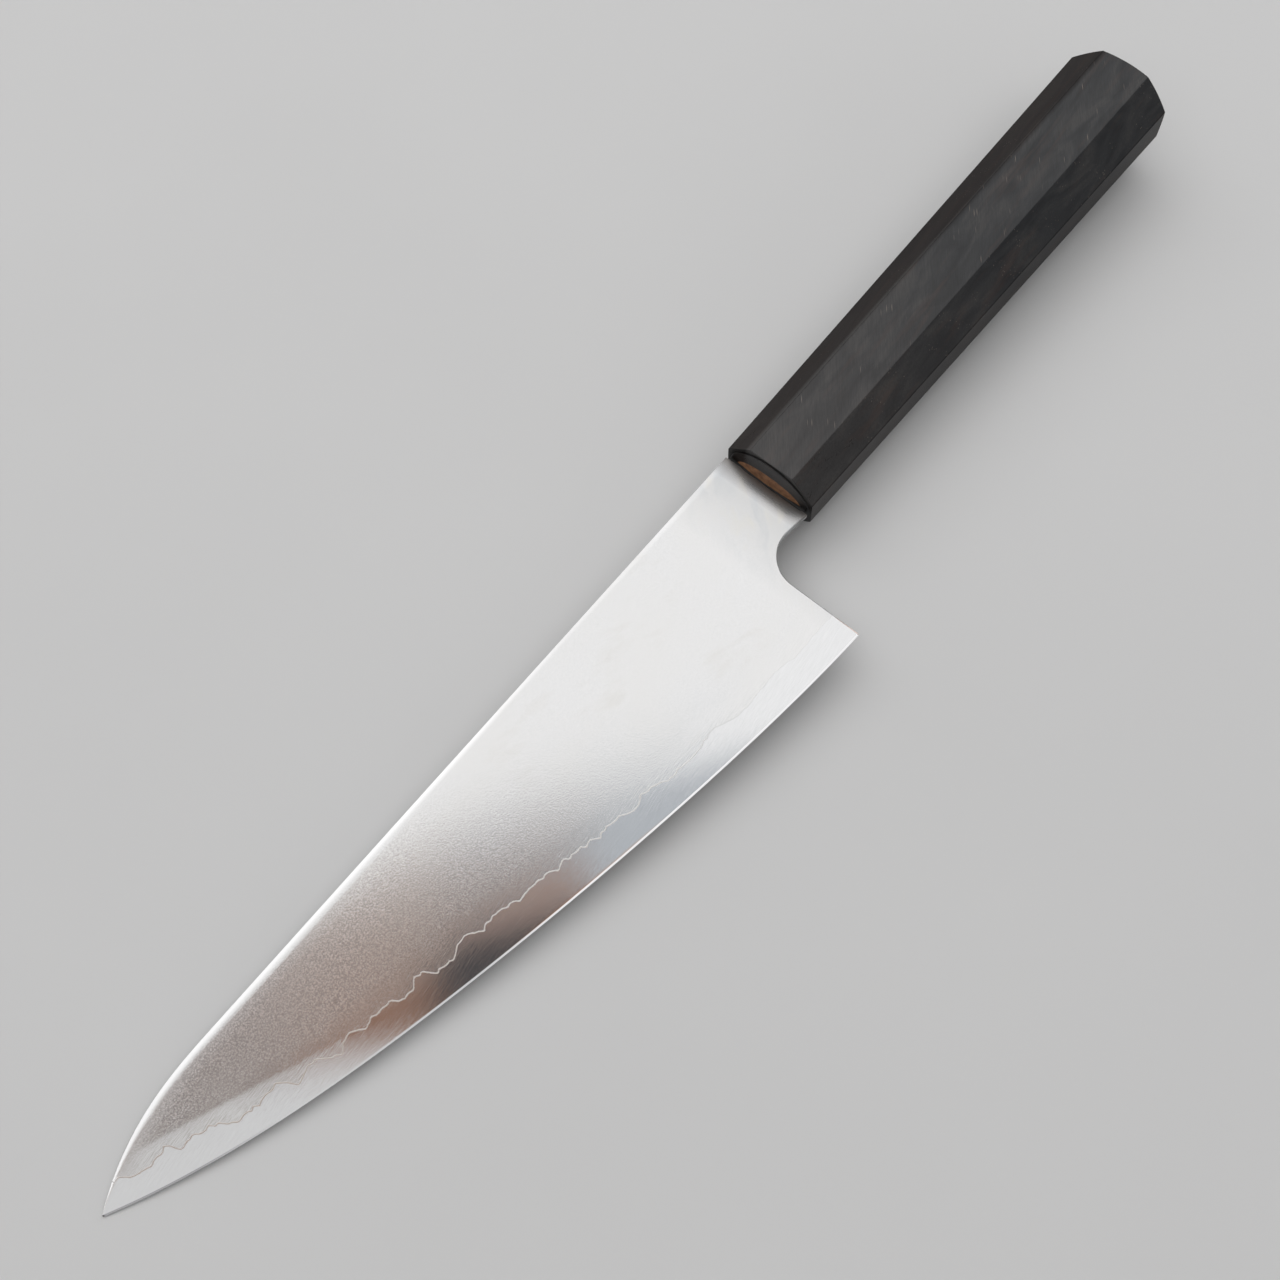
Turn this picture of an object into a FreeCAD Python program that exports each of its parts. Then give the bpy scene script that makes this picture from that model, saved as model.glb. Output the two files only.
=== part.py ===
import FreeCAD, Part
import math
import os

# A double-bevelled Japanese chef's knife (gyuto) with an octagonal one-piece ebony handle.
# The blade is a three-layer laminate: a hard steel core between two softer stainless claddings.
# Its hidden tang is set in a slotted wooden plug inside the handle with black adhesive.
#
# Knife axes, in millimetres: x along the handle's axis towards the tip, y from the spine towards
# the edge, z up out of the blade's left face. They start at the centre of the handle's shoulder.
# The finished knife is then laid down the way it rests on a table: on its right side, on the
# handle's lower front edge and the blade's tip.

V = FreeCAD.Vector

# Handle
HANDLE_LENGTH = 134.8
FRONT_HALF_WIDTH = 11.33
FRONT_HALF_THICKNESS = 9.2
FRONT_CHAMFER = 5.72
BUTT_HALF_WIDTH = 13.0
BUTT_HALF_THICKNESS = 11.1
BUTT_CHAMFER = 6.78
ARRIS_RADIUS = 0.35
BUTT_DOME_RADIUS = 35.0

# Domed oval nose in front of the handle's shoulder
NOSE_HALF_WIDTH = 10.6
NOSE_HALF_THICKNESS = 8.5
NOSE_RISE = 0.85
NOSE_DOME_RADIUS = 75.0
NOSE_RIM_RADIUS = 0.12

# Wooden plug that fills the handle's oval mortise, and its slot for the tang
PLUG_HALF_WIDTH = 8.7
PLUG_HALF_THICKNESS = 5.0
PLUG_LENGTH = 106.0
SLOT_CLEARANCE = 0.4
SLOT_LENGTH = 100.0

# Blade
TIP_X = 197.0
HEEL_X = 15.8
NECK_BACK_X = 0.95
NECK_CORNER_Y = 10.85
CHOIL_RADIUS = 8.25
CHOIL_CENTRE_Y = 18.4
SPINE_Y = -11.2
SPINE_HALF_THICKNESS = 1.15
TIP_HALF_THICKNESS = 0.22
DISTAL_TAPER_POWER = 2.2
FACE_CURVE_POWER = 1.5
SPINE_EASE_WIDTH = 1.9
SPINE_EASE_SLOPE = 0.105
BEVEL_WIDTH = 0.4
BEVEL_HALF_THICKNESS = 0.13
CORE_HALF_THICKNESS = 0.2

# The spine is straight, then falls to the tip as a power of the distance past SPINE_TURN_X.
SPINE_TURN_X = 160.0
SPINE_FALL = 5.75e-4
SPINE_FALL_POWER = 2.66

# The edge rises from the heel to the tip by these terms of (fraction of the blade's length) ** power.
HEEL_Y = 35.95
EDGE_RISE_TERMS = [(2.8, 1), (28.4, 1.5), (7.1, 7)]

# On a narrow section the eased corner and the bevel shrink to these shares of the blade's height,
# and the bevel's thickness to this share of the spine's.
MAX_EASE_SHARE = 0.12
MAX_BEVEL_SHARE = 0.15
MAX_BEVEL_THICKNESS_SHARE = 0.75

# Cross-sections of the blade, closer together towards the tip
SECTION_COUNT = 16
SECTION_SPACING_POWER = 1.6

# Line where the left cladding has been ground away to show the core, from the tip to the heel
CLAD_LINE = [
    (194, -7.5), (190.5, -5), (188, -3), (185, -1.7), (181, -2.4), (179.5, 0), (175.5, 0.3),
    (171.5, 2.5), (168, 5), (164.5, 5.8), (162, 5.2), (158.5, 6.2), (156.5, 9.2), (152.5, 8.3),
    (149.5, 9.8), (147, 11.6), (144, 10.5), (140.5, 11.8), (134, 11.5), (131.5, 14.2),
    (126, 12.6), (123.5, 15.4), (120.5, 16), (115.5, 14.7), (112, 17), (107.5, 16.3),
    (103, 18.6), (98, 18), (93, 20), (88, 20.2), (84, 22), (75, 23.4), (68.5, 23.5),
    (65, 25.3), (58.5, 26.1), (51, 25.5), (45.5, 27.7), (38, 27.9), (33, 27.7), (28, 28.8),
    (20, 28.9), (10, 29),
]
RIGHT_CLAD_SHIFT = -3.2

# Tang
TANG_LENGTH = 97.0
TANG_ROOT_Y = (-7.3, 6.5)
TANG_END_Y = (-3.9, 3.1)
TANG_HALF_THICKNESS = 0.85
TANG_END_CUT = 3.0
TANG_OVERLAP = 0.4

# Bead of adhesive in the mouth, between the nose and the neck's back face
BEAD_HALF_WIDTH = 9.4
BEAD_HALF_THICKNESS = 1.25
BEAD_DEPTH = 1.0

# Blocks used for trimming reach this far, well past the knife.
TRIM = 200.0


def octagon(x, half_width, half_thickness, chamfer):
    """Corner points of a rectangle with 45-degree corners, across the knife's axis."""
    w, t = half_width, half_thickness
    w_flat, t_flat = w - chamfer, t - chamfer
    right = [(w_flat, t), (w, t_flat), (w, -t_flat), (w_flat, -t)]
    left = [(-y, -z) for y, z in right]
    return [V(x, y, z) for y, z in right + left]


def slab(x_start, x_end):
    """Block across the knife's axis, larger than the knife in the other directions."""
    return Part.makeBox(x_end - x_start, 2 * TRIM, 2 * TRIM, V(x_start, -TRIM, -TRIM))


def flat_sided_solid(front, back):
    """Solid between two polygons with the same number of corners, all of its sides flat."""
    rings = [front[::-1], back]
    for i in range(len(front)):
        j = (i + 1) % len(front)
        rings.append([front[i], front[j], back[j], back[i]])
    shell = Part.makeShell([Part.Face(Part.makePolygon(ring + ring[:1])) for ring in rings])
    shell.sewShape()
    solid = Part.makeSolid(shell)
    return solid if solid.Volume > 0 else solid.reversed()


def ball(x_of_pole, radius, towards):
    """Sphere with its pole on the knife's axis and its seam turned away; towards is +1 or -1 along x."""
    sphere = Part.makeSphere(radius, V(x_of_pole - towards * radius, 0, 0))
    if towards > 0:
        sphere.rotate(V(x_of_pole - radius, 0, 0), V(0, 0, 1), 180)
    return sphere


def oval_rod(half_width, half_thickness, x_start, x_end):
    """Elliptical rod along the knife's axis."""
    ellipse = Part.Ellipse(V(x_start, half_width, 0), V(x_start, 0, half_thickness), V(x_start, 0, 0))
    return Part.Face(Part.Wire(ellipse.toShape())).extrude(V(x_end - x_start, 0, 0))


def handle_blank():
    """Tapered octagonal bar with softened arrises and a domed butt."""
    front = octagon(0, FRONT_HALF_WIDTH, FRONT_HALF_THICKNESS, FRONT_CHAMFER)
    butt = octagon(-HANDLE_LENGTH, BUTT_HALF_WIDTH, BUTT_HALF_THICKNESS, BUTT_CHAMFER)
    bar = flat_sided_solid(front, butt)
    dome = ball(-HANDLE_LENGTH, BUTT_DOME_RADIUS, -1)
    ahead_of_butt = slab(BUTT_HALF_WIDTH - HANDLE_LENGTH, 0)
    bar = bar.common(dome.fuse(ahead_of_butt)).Solids[0]
    arrises = [edge for edge in bar.Edges if edge.BoundBox.XMin < -1]
    return bar.makeFillet(ARRIS_RADIUS, arrises)


def domed_nose():
    """Oval boss whose face is part of a large sphere."""
    rod = oval_rod(NOSE_HALF_WIDTH, NOSE_HALF_THICKNESS, -2, NOSE_RISE + 1)
    nose = rod.common(ball(NOSE_RISE, NOSE_DOME_RADIUS, 1)).Solids[0]
    rim = [edge for edge in nose.Edges if edge.BoundBox.XMin > 0]
    return nose.makeFillet(NOSE_RIM_RADIUS, rim)


def make_handle():
    mortise = oval_rod(PLUG_HALF_WIDTH, PLUG_HALF_THICKNESS, -PLUG_LENGTH, NOSE_RISE + 2)
    return handle_blank().fuse(domed_nose()).removeSplitter().cut(mortise)


def tang_outline(clearance, x_root, x_end):
    """Tapering bar with a blunt point, grown on every side by clearance."""
    root_low, root_high = TANG_ROOT_Y[0] - clearance, TANG_ROOT_Y[1] + clearance
    end_low, end_high = TANG_END_Y[0] - clearance, TANG_END_Y[1] + clearance
    cut = TANG_END_CUT
    points = [
        (x_root, root_low), (x_end + cut, end_low), (x_end, end_low + cut),
        (x_end, end_high - cut), (x_end + cut, end_high), (x_root, root_high),
    ]
    half = TANG_HALF_THICKNESS + clearance
    ring = [V(x, y, -half) for x, y in points]
    return Part.Face(Part.makePolygon(ring + ring[:1])).extrude(V(0, 0, 2 * half))


def tang_slot():
    return tang_outline(SLOT_CLEARANCE, NOSE_RISE + 2, -SLOT_LENGTH)


def make_plug():
    rod = oval_rod(PLUG_HALF_WIDTH, PLUG_HALF_THICKNESS, -PLUG_LENGTH, NOSE_RISE + 1)
    return rod.common(ball(NOSE_RISE, NOSE_DOME_RADIUS, 1)).cut(tang_slot())


def spine_height(x):
    return SPINE_Y + SPINE_FALL * max(x - SPINE_TURN_X, 0) ** SPINE_FALL_POWER


def edge_height(x):
    fraction = max((x - HEEL_X) / (TIP_X - HEEL_X), 0)
    return HEEL_Y - sum(rise * fraction ** power for rise, power in EDGE_RISE_TERMS)


def half_thickness_at_spine(x):
    taper = SPINE_HALF_THICKNESS - TIP_HALF_THICKNESS
    return SPINE_HALF_THICKNESS - taper * (x / TIP_X) ** DISTAL_TAPER_POWER


def blade_section(x):
    """Closed wire across the blade: flat spine, eased corners, convex faces, small edge bevels."""
    y_spine, y_edge = spine_height(x), edge_height(x)
    height = y_edge - y_spine
    half = half_thickness_at_spine(x)
    ease = min(SPINE_EASE_WIDTH, MAX_EASE_SHARE * height)
    bevel = min(BEVEL_WIDTH, MAX_BEVEL_SHARE * height)
    corner = half - SPINE_EASE_SLOPE * ease
    shoulder = min(BEVEL_HALF_THICKNESS, MAX_BEVEL_THICKNESS_SHARE * half)
    face_height = height - ease - bevel

    def side(sign):
        def face_point(u):
            z = shoulder + (half - shoulder) * (1 - u ** FACE_CURVE_POWER)
            return V(x, y_spine + ease + u * face_height, sign * z)

        ease_arc = Part.BezierCurve()
        ease_arc.setPoles([
            V(x, y_spine, sign * corner), V(x, y_spine + ease / 2, sign * half),
            V(x, y_spine + ease, sign * half)])
        face = Part.BSplineCurve()
        face.interpolate([face_point(i / 6) for i in range(7)])
        bevel_line = Part.LineSegment(face_point(1), V(x, y_edge, 0))
        return [curve.toShape() for curve in (ease_arc, face, bevel_line)]

    spine = Part.makeLine(V(x, y_spine, -corner), V(x, y_spine, corner))
    return Part.Wire([spine] + side(1) + side(-1)[::-1])


def choil_notch():
    """What is cut away below the neck: its sloping lower edge, a round that touches it, the heel."""
    corner = V(NECK_BACK_X, NECK_CORNER_Y, -TRIM)
    centre = V(HEEL_X - CHOIL_RADIUS, CHOIL_CENTRE_Y, -TRIM)
    to_centre = centre - corner
    slope = math.atan2(to_centre.y, to_centre.x) - math.asin(CHOIL_RADIUS / to_centre.Length)
    along_neck = V(math.cos(slope), math.sin(slope), 0)
    touch = corner + along_neck * math.sqrt(to_centre.Length ** 2 - CHOIL_RADIUS ** 2)
    diagonal = CHOIL_RADIUS * math.sqrt(0.5)
    arc_end = centre + V(CHOIL_RADIUS, 0, 0)
    arc = Part.Arc(touch, centre + V(diagonal, -diagonal, 0), arc_end).toShape()
    start = corner - along_neck * TRIM
    rest = Part.makePolygon([
        arc_end, V(HEEL_X, TRIM, -TRIM), V(start.x, TRIM, -TRIM), start, touch])
    return Part.Face(Part.Wire([arc] + rest.Edges)).extrude(V(0, 0, 2 * TRIM))


def whole_blade():
    fractions = [i / SECTION_COUNT for i in range(SECTION_COUNT + 1)]
    stations = [TIP_X * (1 - (1 - fraction) ** SECTION_SPACING_POWER) for fraction in fractions]
    loft = Part.makeLoft([blade_section(x) for x in stations], True, False)
    blade = loft.cut(choil_notch()).cut(slab(-TRIM, NECK_BACK_X))
    tang = tang_outline(0, NECK_BACK_X + TANG_OVERLAP, -TANG_LENGTH)
    return blade.fuse(tang).removeSplitter().Solids[0]


def cladding_region(side, shift):
    """Everything on one side of the core layer and on the spine's side of the cladding line."""
    line = [V(x + shift, y, side * CORE_HALF_THICKNESS) for x, y in CLAD_LINE]
    tip_end, heel_end = line[0], line[-1]
    corners = [V(-TRIM, heel_end.y, heel_end.z), V(-TRIM, -TRIM, heel_end.z), V(tip_end.x, -TRIM, tip_end.z)]
    outline = Part.makePolygon(line + corners + [tip_end])
    return Part.Face(outline).extrude(V(0, 0, side * TRIM))


def make_seal(blade, handle, plug):
    """Adhesive that fills the slot round the tang and stands as a bead in the mouth."""
    bead = Part.makeBox(
        NECK_BACK_X + BEAD_DEPTH, 2 * BEAD_HALF_WIDTH, 2 * BEAD_HALF_THICKNESS,
        V(-BEAD_DEPTH, -BEAD_HALF_WIDTH, -BEAD_HALF_THICKNESS))
    slot = tang_slot().common(slab(-TRIM, NECK_BACK_X))
    return slot.fuse(bead).cut(handle).cut(plug).cut(blade).removeSplitter()


def lay_down(parts):
    """Tip the knife until its point and its shoulder's lower edge both touch the table, then centre it."""
    pitch = math.degrees(math.atan2(FRONT_HALF_THICKNESS - TIP_HALF_THICKNESS, TIP_X))
    for shape in parts.values():
        shape.rotate(V(0, 0, 0), V(0, 1, 0), pitch)
    box = FreeCAD.BoundBox()
    for shape in parts.values():
        box.add(shape.optimalBoundingBox(False, False))
    for shape in parts.values():
        shape.translate(V(-box.Center.x, -box.Center.y, -box.ZMin))


def make_parts():
    handle = make_handle()
    plug = make_plug()
    blade = whole_blade()
    left = blade.common(cladding_region(1, 0))
    right = blade.common(cladding_region(-1, RIGHT_CLAD_SHIFT))
    return {
        "blade_core": blade.cut(left).cut(right),
        "cladding_left": left,
        "cladding_right": right,
        "handle": handle,
        "tang_plug": plug,
        "tang_adhesive": make_seal(blade, handle, plug),
    }


os.makedirs("parts", exist_ok=True)
PARTS = make_parts()
lay_down(PARTS)
for name, shape in PARTS.items():
    solids = shape.Solids
    shape = solids[0] if len(solids) == 1 else shape
    shape.exportStep("parts/" + name + ".step")
    print(name, "solids", len(solids), "valid", shape.isValid(), "volume", round(shape.Volume, 1))
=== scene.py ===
import math

import bmesh
import bpy
from mathutils import Matrix, Vector
from mathutils.kdtree import KDTree


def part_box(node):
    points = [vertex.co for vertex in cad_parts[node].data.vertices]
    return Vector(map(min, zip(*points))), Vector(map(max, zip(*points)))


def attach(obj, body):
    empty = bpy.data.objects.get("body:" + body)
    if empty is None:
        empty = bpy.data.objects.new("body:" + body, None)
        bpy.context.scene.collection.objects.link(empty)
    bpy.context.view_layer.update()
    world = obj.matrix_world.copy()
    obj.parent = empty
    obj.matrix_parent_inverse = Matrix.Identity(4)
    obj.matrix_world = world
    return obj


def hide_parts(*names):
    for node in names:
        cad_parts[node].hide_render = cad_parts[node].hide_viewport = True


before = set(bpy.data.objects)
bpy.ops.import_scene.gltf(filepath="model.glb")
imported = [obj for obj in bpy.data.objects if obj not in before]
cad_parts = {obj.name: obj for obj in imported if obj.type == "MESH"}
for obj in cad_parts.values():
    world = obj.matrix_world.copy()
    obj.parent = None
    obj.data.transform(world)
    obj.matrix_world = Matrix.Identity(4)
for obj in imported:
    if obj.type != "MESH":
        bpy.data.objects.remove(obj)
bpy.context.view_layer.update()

# The knife is described in its own axes, in millimetres: x along the handle's axis towards the
# tip, y from the spine towards the edge, z up out of the blade's left face, from the centre of
# the handle's shoulder. It lies on its side, tipped nose-down by PITCH, as in the CAD model.
MM = 0.001
TIP_X = 197.0
SPINE_Y = -11.2
HEEL_X = 15.8
HEEL_Y = 35.95
NECK_BACK_X = 0.95
NECK_CORNER_Y = 10.85
CHOIL_RADIUS = 8.25
CHOIL_CENTRE = (HEEL_X - CHOIL_RADIUS, 18.4)
NOTCH_EDGE_RADIUS = 0.3
MAX_NOTCH_DROP = 0.6
SPINE_HALF_THICKNESS = 1.15
TIP_HALF_THICKNESS = 0.22
DISTAL_TAPER_POWER = 2.2
FACE_CURVE_POWER = 1.5
CORE_HALF_THICKNESS = 0.2
BEVEL_WIDTH = 0.4
BEVEL_HALF_THICKNESS = 0.13
SPINE_EASE_WIDTH = 1.9
SPINE_EASE_SLOPE = 0.105
HANDLE_HALF_THICKNESS = 9.2

# On a narrow section the eased corner and the bevel shrink to these shares of the blade's height,
# and the bevel's thickness to these shares of the spine's thickness and of the bevel's own width.
MAX_EASE_SHARE = 0.12
MAX_BEVEL_SHARE = 0.15
MAX_BEVEL_THICKNESS_SHARE = 0.75
MAX_BEVEL_SLOPE = 0.33

# The spine drops towards the tip beyond this x, by SPINE_FALL * (distance beyond it) ** SPINE_FALL_POWER.
SPINE_TURN_X = 160.0
SPINE_FALL = 5.75e-4
SPINE_FALL_POWER = 2.66

# The edge rises from the heel to the tip by these terms of (fraction of the blade's length) ** power.
EDGE_RISE_TERMS = [(2.8, 1), (28.4, 1.5), (7.1, 7)]

# Towards the tip a flatter and a steeper facet meet along a slanting ridge: its height where x is
# RIDGE_X, its fall per millimetre, where the facets fade in, and how soft the ridge is.
RIDGE_X = 140
RIDGE_Y = 11.3
RIDGE_FALL = 0.385
FACETS_START_X = 122
FACETS_FADE = 26
RIDGE_SOFTNESS = 0.5

# The ridge stays between these shares of the face's width, the steeper facet falls at most this
# many times as fast as the face as a whole, and the flatter one at least this many times as fast.
MIN_RIDGE = 0.02
MAX_RIDGE = 0.93
MAX_STEEPNESS = 1.7
MIN_FLATNESS = 0.4

PITCH = math.atan2(HANDLE_HALF_THICKNESS - TIP_HALF_THICKNESS, TIP_X)

blade_low, blade_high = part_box("blade_core")
SHOULDER = Vector((
    blade_high.x - (TIP_X * math.cos(PITCH) + CORE_HALF_THICKNESS * math.sin(PITCH)) * MM,
    blade_low.y - SPINE_Y * MM,
    HANDLE_HALF_THICKNESS * MM * math.cos(PITCH),
))

# Line where the left cladding has been ground away to show the core, from the heel to the tip. The
# right one is the same line, shifted along x.
CLAD_LINE = [
    (10, 29), (20, 28.9), (28, 28.8), (33, 27.7), (38, 27.9), (45.5, 27.7), (51, 25.5),
    (58.5, 26.1), (65, 25.3), (68.5, 23.5), (75, 23.4), (84, 22), (88, 20.2), (93, 20),
    (98, 18), (103, 18.6), (107.5, 16.3), (112, 17), (115.5, 14.7), (120.5, 16), (123.5, 15.4),
    (126, 12.6), (131.5, 14.2), (134, 11.5), (140.5, 11.8), (144, 10.5), (147, 11.6),
    (149.5, 9.8), (152.5, 8.3), (156.5, 9.2), (158.5, 6.2), (162, 5.2), (164.5, 5.8), (168, 5),
    (171.5, 2.5), (175.5, 0.3), (179.5, 0), (181, -2.4), (185, -1.7), (188, -3), (190.5, -5),
    (194, -7.5),
]
RIGHT_CLAD_SHIFT = -3.2

# Finer zigzags on that line, as (size, spacing)
CLAD_ZIGZAGS = [(0.5, 1.7), (0.42, 0.8)]

# The blasting gets coarser where x + BLASTED_SLANT * y goes from the first of these to the second.
BLASTED_SLANT = 0.87
BLASTED_START = 88
BLASTED_FULL = 125

# Mesh of the blade: its rows from the spine to the edge, and its columns from the neck to the tip
EASE_ROWS = 6
CLAD_ROWS = 48
NECK_ROWS = 35
NECK_MARGINS = (NOTCH_EDGE_RADIUS, 0.15, 0.05, 0.0)
CORE_ROWS = 12
BEVEL_ROWS = 2
NECK_COLUMNS = 8
ROUND_COLUMNS = 40
HEEL_OFFSETS = (0, 0.05, 0.15, 0.3)
BODY_COLUMNS = 520
MIN_LAYER_HEIGHT = 0.02

# Points of the cladding line that distances to it are taken from
LINE_START_X = 10
LINE_END_X = 196
LINE_SAMPLES = 6000


def to_row(x, y, z):
    """A point of the knife's axes, in millimetres, as a point of the row frame, in metres."""
    turned = Vector((
        x * math.cos(PITCH) + z * math.sin(PITCH), y, z * math.cos(PITCH) - x * math.sin(PITCH)))
    return SHOULDER + turned * MM


# ---------------------------------------------------------------------------------------------
# Materials
# ---------------------------------------------------------------------------------------------

def feed(tree, socket, value):
    """Links another node's output to a socket, or sets the socket to a value."""
    if isinstance(value, bpy.types.NodeSocket):
        tree.links.new(value, socket)
    else:
        socket.default_value = value


def set_stops(color_ramp, stops):
    """Fills a colour ramp; stops are (position, grey or (r, g, b)), in rising order."""
    while len(color_ramp.elements) < len(stops):
        color_ramp.elements.new(0.5)
    for element, (position, colour) in zip(color_ramp.elements, stops):
        element.position = position
        rgb = (colour,) * 3 if isinstance(colour, (int, float)) else colour
        element.color = (*rgb, 1)


class Shader:
    """A node material with one Principled shader, built up by short calls."""

    def __init__(self, name, **values):
        self.material = bpy.data.materials.new(name)
        self.material.use_nodes = True
        self.tree = self.material.node_tree
        self.surface = self.tree.nodes["Principled BSDF"]
        for socket, value in values.items():
            self.surface.inputs[socket.replace("_", " ")].default_value = value

    def add(self, kind, settings=None, **inputs):
        """A new node. Its inputs are given by name, or by number as i0, i1 and so on."""
        node = self.tree.nodes.new(kind)
        for key, value in (settings or {}).items():
            setattr(node, key, value)
        for key, value in inputs.items():
            numbered = key[0] == "i" and key[1:].isdigit()
            feed(self.tree, node.inputs[int(key[1:]) if numbered else key.replace("_", " ")], value)
        return node

    def math(self, operation, first, second):
        return self.add("ShaderNodeMath", {"operation": operation}, i0=first, i1=second).outputs[0]

    def plus(self, first, second):
        return self.math("ADD", first, second)

    def minus(self, first, second):
        return self.math("SUBTRACT", first, second)

    def times(self, first, second):
        return self.math("MULTIPLY", first, second)

    def ramp(self, factor, stops):
        """A value or colour read off a ramp."""
        node = self.add("ShaderNodeValToRGB", Fac=factor)
        set_stops(node.color_ramp, stops)
        return node.outputs["Color"]

    def mix(self, factor, first, second):
        """Between two colours: the first where the factor is 0, the second where it is 1."""
        first, second = [(*colour, 1) if isinstance(colour, tuple) else colour for colour in (first, second)]
        node = self.add("ShaderNodeMix", {"data_type": "RGBA"}, i0=factor, i6=first, i7=second)
        return node.outputs[2]

    def place(self, turn_degrees, scale):
        """Object coordinates, turned about the vertical and stretched."""
        where = self.add("ShaderNodeTexCoord").outputs["Object"]
        turned = self.add("ShaderNodeVectorRotate", {"rotation_type": "Z_AXIS"},
                          Vector=where, Angle=math.radians(turn_degrees)).outputs[0]
        scaled = self.add("ShaderNodeVectorMath", {"operation": "MULTIPLY"}, i0=turned, i1=scale)
        return scaled.outputs[0]

    def noise(self, vector, scale, detail=2.0, roughness=0.5, distortion=0.0):
        return self.add("ShaderNodeTexNoise", Vector=vector, Scale=scale, Detail=detail,
                        Roughness=roughness, Distortion=distortion).outputs[0]

    def attribute(self, name):
        """A number that each point of the mesh carries."""
        return self.add("ShaderNodeAttribute", {"attribute_name": name}).outputs["Fac"]

    def bump(self, height, distance):
        return self.add("ShaderNodeBump", Height=height, Strength=1.0, Distance=distance).outputs[0]

    def set(self, **sockets):
        """Links the shader's sockets and returns the finished material."""
        for socket, value in sockets.items():
            self.tree.links.new(value, self.surface.inputs[socket.replace("_", " ")])
        return self.material


def measure(s, along, across):
    """Distance in metres from the middle of the handle's shoulder: this share of the distance
    along the knife's axis, towards the tip, plus this share of the one across it, to the edge."""
    where = s.add("ShaderNodeTexCoord").outputs["Object"]
    axis = Vector((math.cos(PITCH), 0, -math.sin(PITCH))) * along + Vector((0, across, 0))
    reach = s.add("ShaderNodeVectorMath", {"operation": "DOT_PRODUCT"}, i0=where, i1=axis)
    return s.minus(reach.outputs["Value"], SHOULDER.dot(axis))


def span(s, value, start, end):
    """0 below start, 1 above end."""
    return s.add("ShaderNodeMapRange", Value=value, From_Min=start, From_Max=end).outputs[0]


def clad_line(s, sense):
    """Mask and colour of the thin ragged line where cladding meets core: faint by the heel, and
    browner towards the tip. The sense is 1 on the cladding and -1 on the core."""
    along = measure(s, 1, 0)
    wander = s.minus(s.noise(s.place(0, (1, 1, 1)), 3000, 2, 0.6), 0.5)
    ragged = s.times(wander, 0.3 * sense)
    line = s.ramp(s.plus(s.attribute("clad_gap"), ragged), [(0.0, 1.0), (0.06, 1.0), (0.16, 0.0)])
    present = s.plus(s.times(span(s, along, 0.045, 0.068), 0.75), 0.25)
    colour = s.mix(span(s, along, 0.075, 0.135), (0.60, 0.59, 0.58), (0.47, 0.41, 0.37))
    return s.times(line, present), colour


def blasted_zone(s):
    """0 over the rear of the blade, rising to 1 where it is blasted coarser, towards the tip."""
    return span(s, measure(s, 1, BLASTED_SLANT), BLASTED_START * MM, BLASTED_FULL * MM)


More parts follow.
